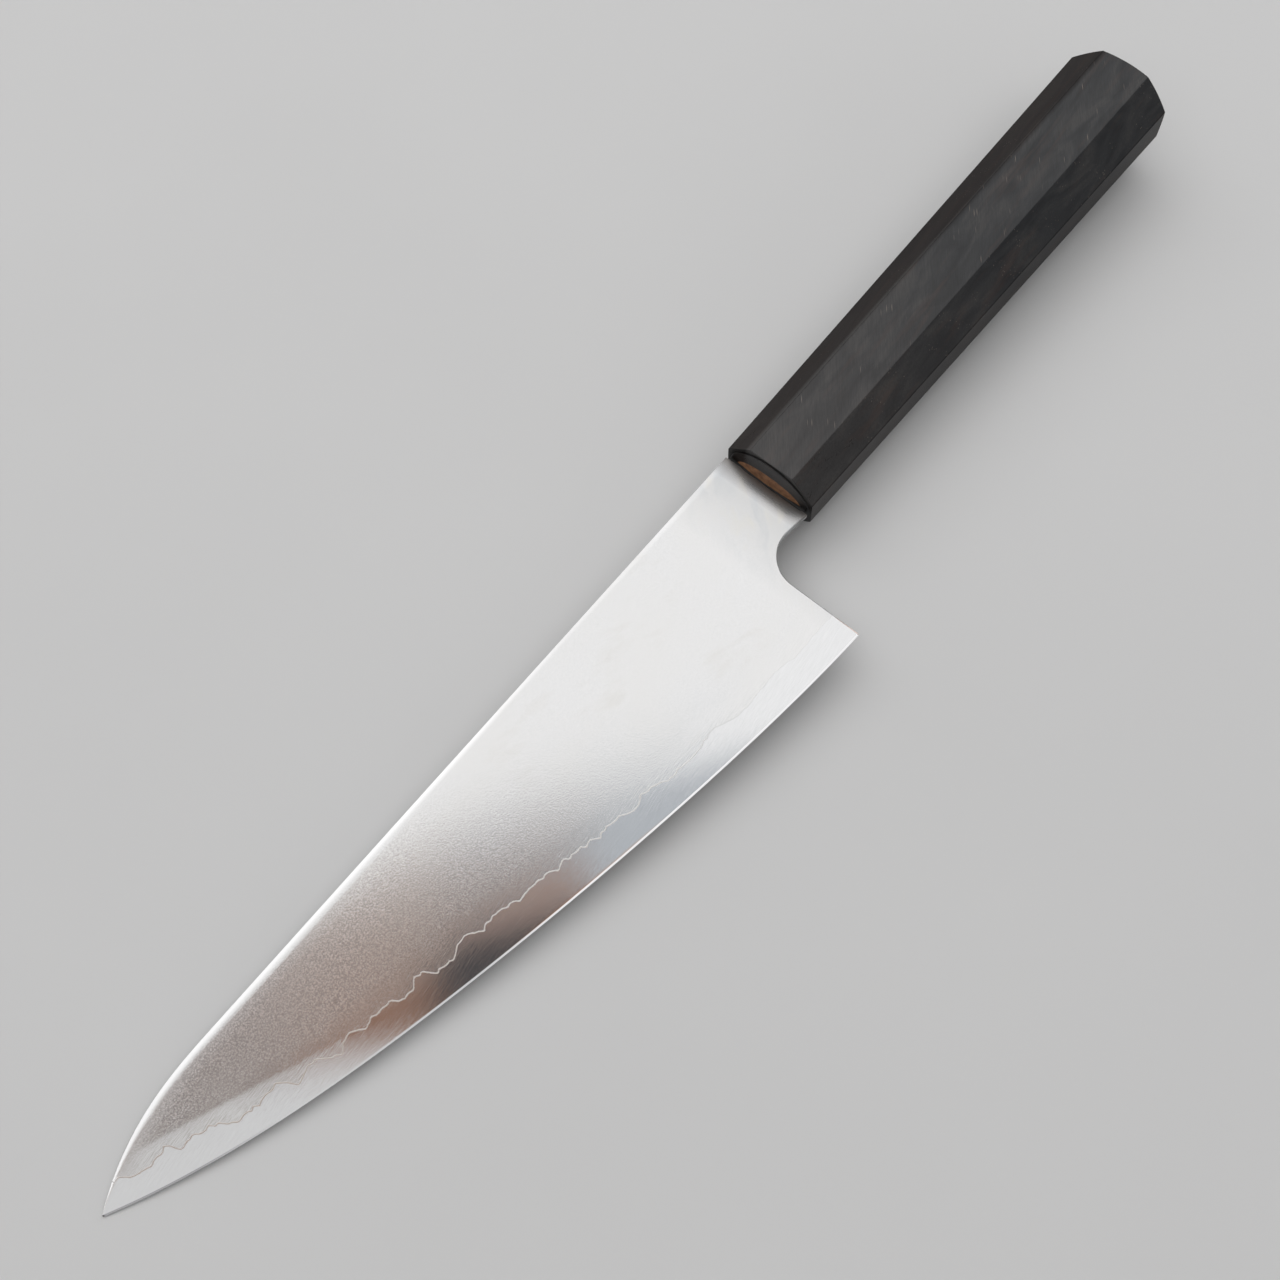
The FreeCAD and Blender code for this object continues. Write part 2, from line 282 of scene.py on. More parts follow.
def cladding_steel():
    """Bead-blasted stainless steel: a fine grain, coarser towards the tip, faint clouds and smudges,
    and a light brushing beside the core. The neck is greyer and stained, and darkened next to the
    handle's mouth by a painted reflection of the dark handle; the corner along the spine has a
    painted highlight and is duller towards the tip."""
    s = Shader("cladding_steel", Metallic=1.0)
    along = measure(s, 1, 0)
    away = span(s, s.attribute("clad_gap"), 0.5, 5.0)
    blasted = s.attribute("blasting")
    spine_gap = s.attribute("spine_gap")

    grain = s.noise(s.place(0, (1, 1, 1)), 2900, 2, 0.8)
    brushing = s.noise(s.place(-8, (450, 5500, 450)), 1.0, 2, 0.6)
    texture = s.add("ShaderNodeMix", i0=away, i2=brushing, i3=grain).outputs[0]
    fine = s.ramp(texture, [(0.35, (0.585, 0.585, 0.588)), (0.65, (0.62, 0.62, 0.623))])
    speckled = s.ramp(grain, [(0.40, (0.46, 0.46, 0.462)), (0.60, (0.74, 0.74, 0.743))])
    colour = s.mix(s.times(blasted, s.plus(s.times(away, 0.7), 0.3)), fine, speckled)

    cloud = s.noise(s.place(-20, (30, 70, 30)), 1.0, 3, 0.5, 0.4)
    colour = s.mix(s.ramp(cloud, [(0.35, 0.0), (0.65, 0.5)]), colour, (0.60, 0.595, 0.587))
    smudge = s.ramp(s.noise(s.place(15, (60, 130, 60)), 1.0, 3, 0.6), [(0.6, 0.0), (0.74, 1.0)])
    colour = s.mix(s.times(smudge, 0.18), colour, (0.50, 0.475, 0.44))

    neck = s.minus(1.0, span(s, along, 0.003, 0.020))
    colour = s.mix(s.times(neck, 0.7), colour, (0.43, 0.43, 0.43))
    stain = s.noise(s.place(-50, (90, 210, 90)), 1.0, 3, 0.55, 0.6)
    blue_stain = s.times(s.ramp(stain, [(0.50, 0.0), (0.66, 0.6)]), neck)
    colour = s.mix(blue_stain, colour, (0.43, 0.45, 0.47))
    tan_stain = s.times(s.ramp(stain, [(0.34, 0.6), (0.46, 0.0)]), neck)
    colour = s.mix(tan_stain, colour, (0.56, 0.54, 0.48))

    line, line_colour = clad_line(s, 1)
    colour = s.mix(line, colour, line_colour)
    # Painted reflection of the dark handle: the steel is darkened next to the handle's mouth.
    mouth_shade = s.minus(1.0, span(s, along, 0.0012, 0.0055))
    colour = s.mix(s.times(mouth_shade, 0.85), colour, (0.13, 0.115, 0.105))
    # Painted highlight: a pale line along the spine's rounded corner, from mid-blade to the tip.
    rim = s.times(s.minus(1.0, span(s, spine_gap, 0.5, 1.3)), span(s, along, 0.055, 0.095))
    colour = s.mix(s.times(rim, 0.7), colour, (0.80, 0.80, 0.80))

    eased = s.minus(1.0, span(s, spine_gap, 0.8, 4.5))
    roughness = s.plus(s.times(away, 0.035), s.plus(s.times(blasted, 0.02), 0.075))
    roughness = s.plus(roughness, s.times(s.times(eased, blasted_zone(s)), 0.10))
    roughness = s.plus(roughness, s.times(mouth_shade, 0.25))
    roughness = s.plus(roughness, s.times(line, 0.4))
    height = s.plus(texture, s.times(line, 1.5))
    return s.set(Base_Color=colour, Roughness=roughness, Normal=s.bump(height, 0.00001))


def core_steel():
    """Ground hard steel: smoother than the cladding, with hairlines nearly along the blade. Its
    sharpening bevel carries a painted highlight next to the heel and painted shade next to the tip."""
    s = Shader("core_steel", Metallic=1.0)
    along = measure(s, 1, 0)
    hairlines = s.noise(s.place(-8, (420, 8500, 420)), 1.0, 2, 0.5)
    colour = s.ramp(hairlines, [(0.3, (0.585, 0.587, 0.592)), (0.7, (0.622, 0.624, 0.630))])
    scratch_paths = s.noise(s.place(-9, (90, 7000, 90)), 1.0, 1, 0.5)
    scratches = s.ramp(scratch_paths, [(0.64, 0.0), (0.74, 1.0)])
    colour = s.mix(s.times(scratches, 0.08), colour, (0.78, 0.78, 0.78))

    honed = s.minus(1.0, span(s, s.attribute("edge_gap"), BEVEL_WIDTH - 0.05, BEVEL_WIDTH + 0.05))
    # Painted highlight on the bevel next to the heel, and painted shade on it next to the tip.
    heel_bevel_highlight = s.minus(1.0, span(s, along, 0.095, 0.118))
    colour = s.mix(s.times(s.times(honed, heel_bevel_highlight), 0.9), colour, (0.94, 0.94, 0.95))
    tip_bevel_shade = span(s, along, 0.163, 0.180)
    colour = s.mix(s.times(s.times(honed, tip_bevel_shade), 0.7), colour, (0.25, 0.25, 0.26))
    colour = s.mix(s.times(s.attribute("warmth"), 0.55), colour, (0.66, 0.36, 0.19))

    line, line_colour = clad_line(s, -1)
    colour = s.mix(line, colour, line_colour)
    roughness = s.plus(s.times(scratches, 0.05), 0.06)
    roughness = s.plus(roughness, s.times(line, 0.4))
    grain = s.noise(s.place(0, (1, 1, 1)), 4200, 2, 0.6)
    height = s.plus(hairlines, s.times(grain, 0.6))
    return s.set(Base_Color=colour, Roughness=roughness, Normal=s.bump(height, 0.000003))


def ebony():
    """Dark wood: soft figure along the handle, fine fibres at a slant, reddish streaks, and short
    pale pores; browner and glossier towards the front, and duller and darker along the spine's side
    and the edge's side, where the darkening is painted shade. Painted shade also makes it black in
    the angle round the nose."""
    s = Shader("ebony")
    slant = -39
    along = measure(s, 1, 0)
    front = span(s, along, -0.075, -0.005)
    figure = s.noise(s.place(-7, (60, 190, 190)), 1.0, 4, 0.55, 0.9)
    fibre = s.noise(s.place(slant, (170, 3600, 3600)), 1.0, 3, 0.65)
    red = s.ramp(s.noise(s.place(-4, (45, 520, 520)), 1.0, 3, 0.6), [(0.54, 0.0), (0.72, 1.0)])

    cells = s.add("ShaderNodeTexVoronoi", Vector=s.place(slant, (150, 2300, 2300)), Scale=1.0)
    chance = s.add("ShaderNodeSeparateColor", Color=cells.outputs["Color"]).outputs[0]
    crowding = s.noise(s.place(slant, (30, 110, 110)), 1.0, 2, 0.5)
    grouped = s.minus(crowding, s.times(front, 0.12))
    draw = s.plus(s.times(chance, 0.35), s.times(grouped, 0.65))
    chosen = s.ramp(draw, [(0.58, 0.0), (0.64, 1.0)])
    pore = s.times(s.ramp(cells.outputs["Distance"], [(0.07, 1.0), (0.22, 0.0)]), chosen)

    # The edge's side starts at its arris, which slopes because the handle tapers. The spine's side
    # fades in over 1.5 mm beside its own arris, and reaches a little past it at the butt.
    spine_side = s.minus(1.0, span(s, measure(s, 0.0045, 1), -0.0070, -0.0055))
    edge_side = span(s, measure(s, 0.0124, 1), 0.01105, 0.0113)
    # Mask of the painted shade on the spine's side and the edge's side.
    painted_side_shade = s.math("MAXIMUM", spine_side, s.times(edge_side, 0.5))
    # Painted shade: a black band in the angle where the nose meets the shoulder.
    angle = s.ramp(span(s, along, -0.0006, 0.0006), [(0.3, 0.0), (0.42, 0.7), (0.6, 0.7), (0.75, 0.0)])

    shades = [(0.36, (0.011, 0.012, 0.015)), (0.5, (0.020, 0.021, 0.024)), (0.64, (0.036, 0.034, 0.034))]
    colour = s.ramp(figure, shades)
    colour = s.mix(s.times(front, 0.35), colour, (0.060, 0.048, 0.042))
    colour = s.mix(s.ramp(fibre, [(0.35, 0.6), (0.65, 0.0)]), colour, (0.008, 0.008, 0.008))
    colour = s.mix(s.times(red, 0.35), colour, (0.060, 0.032, 0.023))
    colour = s.mix(s.times(pore, 0.8), colour, (0.20, 0.165, 0.14))
    # Painted shade: the spine's side and the edge's side are darkened, besides being made less glossy.
    colour = s.mix(s.times(painted_side_shade, 0.6), colour, (0.012, 0.006, 0.004))
    colour = s.mix(angle, colour, (0.002, 0.002, 0.002))

    roughness = s.minus(s.plus(s.times(figure, 0.16), 0.29), s.times(front, 0.10))
    roughness = s.plus(roughness, s.times(fibre, 0.06))
    gloss = s.plus(s.ramp(figure, [(0.36, 0.36), (0.64, 0.46)]), s.times(front, 0.09))
    gloss = s.times(gloss, s.minus(1.0, s.times(spine_side, 0.84)))
    gloss = s.times(gloss, s.minus(1.0, s.times(edge_side, 0.8)))
    relief = s.bump(s.minus(fibre, pore), 0.000012)
    return s.set(Base_Color=colour, Roughness=roughness, Specular_IOR_Level=gloss, Normal=relief)


def plug_wood():
    """Orange-brown end grain with fine dark pores."""
    s = Shader("plug_wood", Specular_IOR_Level=0.35)
    even = s.place(0, (1, 1, 1))
    cloud = s.noise(even, 700, 3, 0.6)
    pores = s.add("ShaderNodeTexVoronoi", Vector=even, Scale=2600.0)
    hole = s.ramp(pores.outputs["Distance"], [(0.1, 1.0), (0.3, 0.0)])
    colour = s.ramp(cloud, [(0.3, (0.20, 0.095, 0.048)), (0.7, (0.42, 0.215, 0.115))])
    colour = s.mix(s.times(hole, 0.6), colour, (0.03, 0.014, 0.008))
    roughness = s.plus(s.times(cloud, 0.2), 0.5)
    return s.set(Base_Color=colour, Roughness=roughness, Normal=s.bump(s.minus(cloud, hole), 0.00002))


def adhesive():
    """Cured black resin with an uneven, slightly glossy skin."""
    s = Shader("adhesive", Specular_IOR_Level=0.4)
    lumps = s.noise(s.place(0, (1, 1, 1)), 1400, 3, 0.6)
    colour = s.ramp(lumps, [(0.3, (0.003, 0.003, 0.003)), (0.7, (0.010, 0.009, 0.008))])
    roughness = s.plus(s.times(lumps, 0.3), 0.35)
    return s.set(Base_Color=colour, Roughness=roughness, Normal=s.bump(lumps, 0.00004))


def pale_floor():
    """Smooth pale card."""
    s = Shader("pale_floor")
    cloud = s.noise(s.place(0, (1, 1, 1)), 9, 4, 0.5)
    colour = s.ramp(cloud, [(0.3, (0.70, 0.70, 0.70)), (0.7, (0.72, 0.72, 0.72))])
    return s.set(Base_Color=colour, Roughness=s.plus(s.times(cloud, 0.1), 0.75))


MATERIALS = {
    "core_steel": core_steel(),
    "cladding_steel": cladding_steel(),
    "ebony": ebony(),
    "plug_wood": plug_wood(),
    "adhesive": adhesive(),
}


# ---------------------------------------------------------------------------------------------
# Blade
# ---------------------------------------------------------------------------------------------

def rise(value, start, end):
    """0 below start, 1 above end."""
    return min(max((value - start) / (end - start), 0), 1)


def spine_height(x):
    return SPINE_Y + SPINE_FALL * max(x - SPINE_TURN_X, 0) ** SPINE_FALL_POWER


def edge_height(x):
    fraction = max((x - HEEL_X) / (TIP_X - HEEL_X), 0)
    return HEEL_Y - sum(term * fraction ** power for term, power in EDGE_RISE_TERMS)


def half_at_spine(x):
    taper = SPINE_HALF_THICKNESS - TIP_HALF_THICKNESS
    return SPINE_HALF_THICKNESS - taper * (x / TIP_X) ** DISTAL_TAPER_POWER


def widths(x):
    """Height of the blade, width of its eased spine corner and width of its edge bevel, at x."""
    height = edge_height(x) - spine_height(x)
    ease = min(SPINE_EASE_WIDTH, MAX_EASE_SHARE * height)
    return height, ease, min(BEVEL_WIDTH, MAX_BEVEL_SHARE * height)


def neck_touch():
    """Where the neck's sloping lower edge runs into the round of the notch, and its slope."""
    x, y = CHOIL_CENTRE[0] - NECK_BACK_X, CHOIL_CENTRE[1] - NECK_CORNER_Y
    slope = math.atan2(y, x) - math.asin(CHOIL_RADIUS / math.hypot(x, y))
    run = math.sqrt(x * x + y * y - CHOIL_RADIUS ** 2)
    return NECK_BACK_X + run * math.cos(slope), slope


TOUCH_X, NECK_SLOPE = neck_touch()


def notch_height(x):
    """Lower edge of the neck, then of the round that leads up to the heel."""
    if x < TOUCH_X:
        return NECK_CORNER_Y + (x - NECK_BACK_X) * math.tan(NECK_SLOPE)
    return CHOIL_CENTRE[1] - math.sqrt(max(CHOIL_RADIUS ** 2 - (x - CHOIL_CENTRE[0]) ** 2, 0))


def notch_gap(x, y):
    """Distance from a point of the blade to the rounded notch between its neck and its heel."""
    if y > CHOIL_CENTRE[1]:
        return x - HEEL_X
    if x < TOUCH_X:
        return (notch_height(x) - y) * math.cos(NECK_SLOPE)
    return math.hypot(x - CHOIL_CENTRE[0], y - CHOIL_CENTRE[1]) - CHOIL_RADIUS


def face_height(x, y):
    """Height of the blade's face above its middle plane."""
    height, ease, bevel = widths(x)
    half = half_at_spine(x)
    shoulder = min(BEVEL_HALF_THICKNESS, MAX_BEVEL_THICKNESS_SHARE * half, MAX_BEVEL_SLOPE * bevel)
    v = y - spine_height(x)
    if v < ease:
        z = half - SPINE_EASE_SLOPE * ease * (1 - v / ease) ** 2
    elif v <= height - bevel:
        u = (v - ease) / (height - ease - bevel)
        z = shoulder + (half - shoulder) * (1 - grind(x, u))
    else:
        z = shoulder * max(height - v, 0) / bevel
    return z - notch_ease(notch_gap(x, y), z)


def ridge_height(x):
    """Height of the slanting line towards the tip where the face turns steeper."""
    return RIDGE_Y - RIDGE_FALL * (x - RIDGE_X)


def grind(x, u):
    """Share of the face's fall reached at u, from 0 at the spine to 1 at the bevel. Towards the tip
    the even curve turns into a flatter face and a steeper one that meet along a slanting ridge."""
    curve = u ** FACE_CURVE_POWER
    blend = rise(x, FACETS_START_X, FACETS_START_X + FACETS_FADE)
    if blend == 0:
        return curve
    blend = blend * blend * (3 - 2 * blend)
    height, ease, bevel = widths(x)
    run = height - ease - bevel
    ridge = min(max((ridge_height(x) - spine_height(x) - ease) / run, MIN_RIDGE), MAX_RIDGE)
    steep = min(MAX_STEEPNESS, (1 - MIN_FLATNESS * ridge) / (1 - ridge))
    flat = (1 - steep * (1 - ridge)) / ridge
    softness = RIDGE_SOFTNESS / run

    def beyond_ridge(u):
        """How far u is past the ridge, rounded off at the ridge itself."""
        return 0.5 * (u - ridge + math.sqrt((u - ridge) ** 2 + softness ** 2))

    start, extra = beyond_ridge(0), steep - flat
    facets = (flat * u + extra * (beyond_ridge(u) - start)) / (flat + extra * (beyond_ridge(1) - start))
    return curve + blend * (facets - curve)


def notch_ease(gap, z):
    """How far the rounding along the notch lowers the face, at most MAX_NOTCH_DROP of its height z."""
    radius = NOTCH_EDGE_RADIUS
    if gap >= radius:
        return 0.0
    drop = radius - math.sqrt(max(radius ** 2 - (radius - max(gap, 0)) ** 2, 0))
    return min(drop, MAX_NOTCH_DROP * z)


def face_normal(x, y, sign):
    """Outward direction of the blade's face, in the row frame."""
    step = 0.001
    slope_x = (face_height(x + step, y) - face_height(x - step, y)) / (2 * step)
    slope_y = (face_height(x, y + step) - face_height(x, y - step)) / (2 * step)
    normal = Vector((-slope_x, -slope_y, sign)).normalized()
    return Matrix.Rotation(PITCH, 3, "Y") @ normal


def jag(x, spacing):
    """Repeatable zigzag between -1 and 1 with a corner every spacing millimetres."""
    def corner(n):
        """Height of corner n, scattered by a sine hash."""
        return (math.sin(n * 12.9898 + spacing * 78.233) * 43758.5453) % 1.0 * 2 - 1

    n = math.floor(x / spacing)
    t = x / spacing - n
    return corner(n) * (1 - t) + corner(n + 1) * t


def zigzag(x, layers):
    """Several zigzags on top of each other, given as (size, spacing)."""
    return sum(size * jag(x, spacing) for size, spacing in layers)


def clad_height(x, shift):
    """Height of the cladding line at x: its points joined up, with finer zigzags on top, which are
    weaker towards the heel."""
    x = min(max(x - shift, CLAD_LINE[0][0]), CLAD_LINE[-1][0])
    (x0, y0), (x1, y1) = next(pair for pair in zip(CLAD_LINE, CLAD_LINE[1:]) if x <= pair[1][0])
    strength = max(rise(x, 30, 80), 0.3)
    return y0 + (y1 - y0) * (x - x0) / (x1 - x0) + strength * zigzag(x, CLAD_ZIGZAGS)


def blade_rows(x, shift):
    """Heights of one column of the blade's mesh: spine, eased corner, cladding, core, bevel, edge."""
    height, ease, bevel = widths(x)
    spine, edge = spine_height(x), edge_height(x)
    flat_start, bevel_start = spine + ease, edge - bevel
    clad = min(max(clad_height(x, shift), flat_start + MIN_LAYER_HEIGHT), bevel_start - MIN_LAYER_HEIGHT)
    rows = [spine + ease * n / EASE_ROWS for n in range(EASE_ROWS)]
    # The first NECK_ROWS rows of cladding reach the notch's height at the heel, as the neck's rows do.
    at_choil = (CHOIL_CENTRE[1] - SPINE_Y - ease) / (clad_height(HEEL_X, shift) - SPINE_Y - ease)
    for n in range(CLAD_ROWS):
        if n <= NECK_ROWS:
            split = at_choil * n / NECK_ROWS
        else:
            split = at_choil + (1 - at_choil) * (n - NECK_ROWS) / (CLAD_ROWS - NECK_ROWS)
        rows.append(flat_start + split * (clad - flat_start))
    rows += [clad + (bevel_start - clad) * n / CORE_ROWS for n in range(CORE_ROWS)]
    rows += [bevel_start + bevel * n / BEVEL_ROWS for n in range(BEVEL_ROWS + 1)]
    return rows


def neck_rows(x):
    """The same rows behind the heel, down to the neck's lower edge or the round of the notch."""
    rows = [SPINE_Y + SPINE_EASE_WIDTH * n / EASE_ROWS for n in range(EASE_ROWS)]
    start, low = SPINE_Y + SPINE_EASE_WIDTH, notch_height(x)
    broad = NECK_ROWS - len(NECK_MARGINS) + 1
    rows += [start + (low - NECK_MARGINS[0] - start) * n / broad for n in range(broad)]
    return rows + [low - margin for margin in NECK_MARGINS]


def blade_columns():
    """x of each column: the neck, the round of the notch, the eased heel line, then on to the tip."""
    neck = [NECK_BACK_X + (TOUCH_X - NECK_BACK_X) * n / NECK_COLUMNS for n in range(NECK_COLUMNS)]
    first = math.asin((TOUCH_X - CHOIL_CENTRE[0]) / CHOIL_RADIUS)
    for n in range(ROUND_COLUMNS):
        turn = first + (math.pi / 2 - first) * n / ROUND_COLUMNS
        neck.append(CHOIL_CENTRE[0] + CHOIL_RADIUS * math.sin(turn))
    heel = [HEEL_X + offset for offset in HEEL_OFFSETS]
    start = heel[-1]
    body = [start + (TIP_X - start) * n / BODY_COLUMNS for n in range(1, BODY_COLUMNS + 1)]
    return neck, heel + body


def warmth(x, y):
    """Strength of the orange tint: a thread beside the bevel along the middle of the blade, and the
    heel's corner."""
    inside_bevel = edge_height(x) - BEVEL_WIDTH - y
    thread = max(1 - abs(inside_bevel - 0.1) / 0.2, 0) * rise(x, 70, 82) * (1 - rise(x, 103, 115))
    heel = (1 - rise(x, HEEL_X, HEEL_X + 0.3)) * rise(y, 29, 31) if x >= HEEL_X else 0.0
    return max(thread, heel)


def blasting(x, y):
    """Coarseness of the blasted grain: it grows towards the tip, and fades at the spine and, near the
    tip, below the ridge."""
    fade_below = rise(ridge_height(x) - y, -0.3, 0.5) if x > 135 else 1.0
    towards_tip = rise(x + BLASTED_SLANT * y, BLASTED_START, BLASTED_FULL)
    return towards_tip * rise(y - spine_height(x), 0.8, 3.0) * fade_below


def turn_outward(mesh):
    """Makes all faces of a closed mesh face outwards."""
    shape = bmesh.new()
    shape.from_mesh(mesh)
    bmesh.ops.recalc_face_normals(shape, faces=shape.faces)
    if shape.calc_volume(signed=True) < 0:
        bmesh.ops.reverse_faces(shape, faces=shape.faces)
    shape.to_mesh(mesh)
    shape.free()


class BladeSide:
    """Points of one face of the blade in columns and rows, with the row numbers of its regions."""

    def __init__(self, sign, shift):
        neck, body = blade_columns()
        self.sign = sign
        self.columns = [(x, neck_rows(x)) for x in neck] + [(x, blade_rows(x, shift)) for x in body]
        self.line_row = EASE_ROWS + CLAD_ROWS
        self.tree = KDTree(LINE_SAMPLES)
        for n in range(LINE_SAMPLES):
            x = LINE_START_X + (LINE_END_X - LINE_START_X) * n / LINE_SAMPLES
            self.tree.insert((x, clad_height(x, shift), 0), n)
        self.tree.balance()

    def quads(self, first_row, last_row):
        """Corner keys (column, row) of the faces between two rows."""
        for a in range(len(self.columns) - 1):
            top = min(len(self.columns[a][1]), len(self.columns[a + 1][1])) - 1
            for r in range(first_row, min(last_row, top)):
                yield (a, r), (a + 1, r), (a + 1, r + 1), (a, r + 1)

    def outer(self, key):
        """Point on the face."""
        x, rows = self.columns[key[0]]
        return x, rows[key[1]], self.sign * face_height(x, rows[key[1]])

    def inner(self, key):
        """Point under it, where the cladding lies on the core."""
        x, rows = self.columns[key[0]]
        return x, rows[key[1]], self.sign * CORE_HALF_THICKNESS

    def clad_gap(self, point):
        """Distance to the cladding line."""
        return self.tree.find((point[0], point[1], 0))[2]


NORMAL_INSET = 0.05


class Skin:
    """Collects faces by named corners, so that shared corners become shared vertices."""

    def __init__(self):
        self.points, self.index, self.faces, self.shown = [], {}, [], []
        self.values = {"clad_gap": [], "warmth": [], "blasting": [], "edge_gap": [], "spine_gap": []}

    def corner(self, name, point, gap):
        """Number of the vertex of this name, made when it is first asked for."""
        if name not in self.index:
            self.index[name] = len(self.points)
            self.points.append(point)
            self.values["clad_gap"].append(gap)
            self.values["warmth"].append(warmth(*point[:2]))
            self.values["blasting"].append(blasting(*point[:2]))
            self.values["edge_gap"].append(edge_height(min(point[0], TIP_X)) - point[1])
            self.values["spine_gap"].append(point[1] - spine_height(min(point[0], TIP_X)))
        return self.index[name]

    def face(self, corners, sign=0):
        """Adds a face; sign is 1 or -1 where it belongs to the left or right outer face of the blade."""
        ring = []
        for c in corners:
            if not ring or c != ring[-1]:
                ring.append(c)
        if len(set(ring)) >= 3:
            self.faces.append(ring)
            self.shown.append(sign)

    def true_normals(self, mesh):
        """Gives the outer faces the exact normals of the ground surface, so reflections run smoothly.
        Each is read a little inside its face, clear of the folds that some faces end at."""
        normals = [corner.vector.copy() for corner in mesh.corner_normals]
        for polygon, sign in zip(mesh.polygons, self.shown):
            if not sign:
                continue
            ring = [self.points[v] for v in polygon.vertices]
            middle_x = sum(p[0] for p in ring) / len(ring)
            middle_y = sum(p[1] for p in ring) / len(ring)
            for loop, point in zip(polygon.loop_indices, ring):
                x = point[0] + NORMAL_INSET * (middle_x - point[0])
                y = point[1] + NORMAL_INSET * (middle_y - point[1])
                normals[loop] = face_normal(x, y, sign)
        mesh.normals_split_custom_set(normals)

    def build(self, name, node, slot):
        """Makes the object that shows instead of the CAD's node."""
        mesh = bpy.data.meshes.new(name)
        mesh.from_pydata([to_row(*p) for p in self.points], [], self.faces)
        for key, values in self.values.items():
            mesh.attributes.new(key, "FLOAT", "POINT").data.foreach_set("value", values)
        turn_outward(mesh)
        mesh.shade_smooth()
        mesh.set_sharp_from_angle(angle=math.radians(28))
        self.true_normals(mesh)
        mesh.materials.append(MATERIALS[slot])
        piece = bpy.data.objects.new(name, mesh)
        bpy.context.scene.collection.objects.link(piece)
        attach(piece, "root")
        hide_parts(node)
        return piece


def open_edges(skin):
    """Pairs of vertices that only one face joins so far, each with the lower number first."""
    used = {}
    for ring in skin.faces:
        for a, b in zip(ring, ring[1:] + ring[:1]):
            used[frozenset((a, b))] = used.get(frozenset((a, b)), 0) + 1
    return [sorted(pair) for pair, count in used.items() if count == 1]


def close_rim(skin):
    """Joins each open edge of the outer faces to its partner on the inner side."""
    partner = {}
    for name, i in skin.index.items():
        if name[0] == "outer":
            partner[i] = skin.index[("inner",) + name[1:]]
    for a, b in open_edges(skin):
        if a in partner and b in partner:
            skin.face([a, b, partner[b], partner[a]])


def build_cladding(side, name):
    """Outer layer: the face down to the cladding line, and its flat inner side on the core."""
    skin = Skin()
    for quad in side.quads(0, side.line_row):
        outer, inner = [], []
        for key in quad:
            point = side.outer(key)
            gap = side.clad_gap(point)
            outer.append(skin.corner(("outer",) + key, point, gap))
            inner.append(skin.corner(("inner",) + key, side.inner(key), gap))
        skin.face(outer, side.sign)
        skin.face(inner[::-1])
    close_rim(skin)
    return skin.build(name + "_skin", name, "cladding_steel")


def build_core(left, right):
    """Middle layer: a plate under both claddings that widens to the faces below the cladding line."""
    skin = Skin()
    edge_row = len(left.columns[-1][1]) - 1

    def corner(side, key, exposed):
        """Vertex of one side, on its face or under its cladding; both sides share the edge's."""
        point = side.outer(key) if exposed else side.inner(key)
        gap = side.clad_gap(point)
        if key[1] == edge_row:
            return skin.corner(("edge", key), point, gap)
        return skin.corner((side.sign, exposed, key), point, gap)

    for side in (left, right):
        for quad in side.quads(0, side.line_row):
            skin.face([corner(side, key, False) for key in quad])
        for quad in side.quads(side.line_row, edge_row):
            skin.face([corner(side, key, True) for key in quad], side.sign)
            a, b = quad[0], quad[1]
            if a[1] == side.line_row:
                shown = [corner(side, a, True), corner(side, b, True)]
                skin.face(shown + [corner(side, b, False), corner(side, a, False)])

    # The rest of its outline is closed by joining the left side's open edges to the right side's.
    names = {i: name for name, i in skin.index.items()}
    for a, b in open_edges(skin):
        if 1 in (names[a][0], names[b][0]):
            across = []
            for i in (b, a):
                name = names[i]
                across.append(i if name[0] == "edge" else skin.index.get((-1,) + name[1:]))
            if None not in across:
                skin.face([a, b] + across)
    return skin.build("blade_core_skin", "blade_core", "core_steel")


left_side = BladeSide(1, 0.0)
right_side = BladeSide(-1, RIGHT_CLAD_SHIFT)
build_cladding(left_side, "cladding_left")
build_cladding(right_side, "cladding_right")
build_core(left_side, right_side)


# ---------------------------------------------------------------------------------------------
# Bead of adhesive in the mouth of the handle; the handle and the plug keep their CAD shapes
# ---------------------------------------------------------------------------------------------

# Outline of the bead: a ring round the neck with blunt ends and flat faces. Its lumps are zigzags,
# given as (size, spacing), that fade out next to the seam where the ring starts and ends.
BEAD_STEPS = 220
BEAD_SEAM_STEPS = 6
BEAD_HALF_WIDTH = 10.2
BEAD_MIDDLE_Y = -0.2
BEAD_SQUARENESS = 0.35
BEAD_FLATNESS = 0.3
BEAD_LUMPS = [(0.6, 1.9), (0.4, 0.7)]

# Rings of the bead from inside the mouth to its front: x, how far they stand off the blade's
# faces, and how uneven they are
BEAD_PROFILE = [
    (-0.9, 0.05, 0.0), (0.5, 0.14, 0.06), (0.95, 0.10, 0.14), (1.15, -0.02, 0.10),
    (1.2, -0.15, 0.05), (0.93, -0.2, 0.0),
]


def bead_ring(x, grow, wander):
    """Closed ring round the neck, grow millimetres off the blade's faces; wander makes it uneven."""
    ring = []
    for n in range(BEAD_STEPS):
        turn = 2 * math.pi * n / BEAD_STEPS
        across, up = math.cos(turn), math.sin(turn)
        squared = max(abs(across), abs(up)) ** BEAD_SQUARENESS
        run = n * 2 * BEAD_HALF_WIDTH / (BEAD_STEPS / 2)
        fade = min(n, BEAD_STEPS - n, BEAD_SEAM_STEPS) / BEAD_SEAM_STEPS
        lump = wander * zigzag(run, BEAD_LUMPS) * fade
        y = BEAD_MIDDLE_Y + (BEAD_HALF_WIDTH + 0.3 * grow) * across / squared
        z = (SPINE_HALF_THICKNESS + grow + lump) * math.copysign(abs(up) ** BEAD_FLATNESS, up)
        ring.append((x + 0.6 * lump, y, z))
    return ring


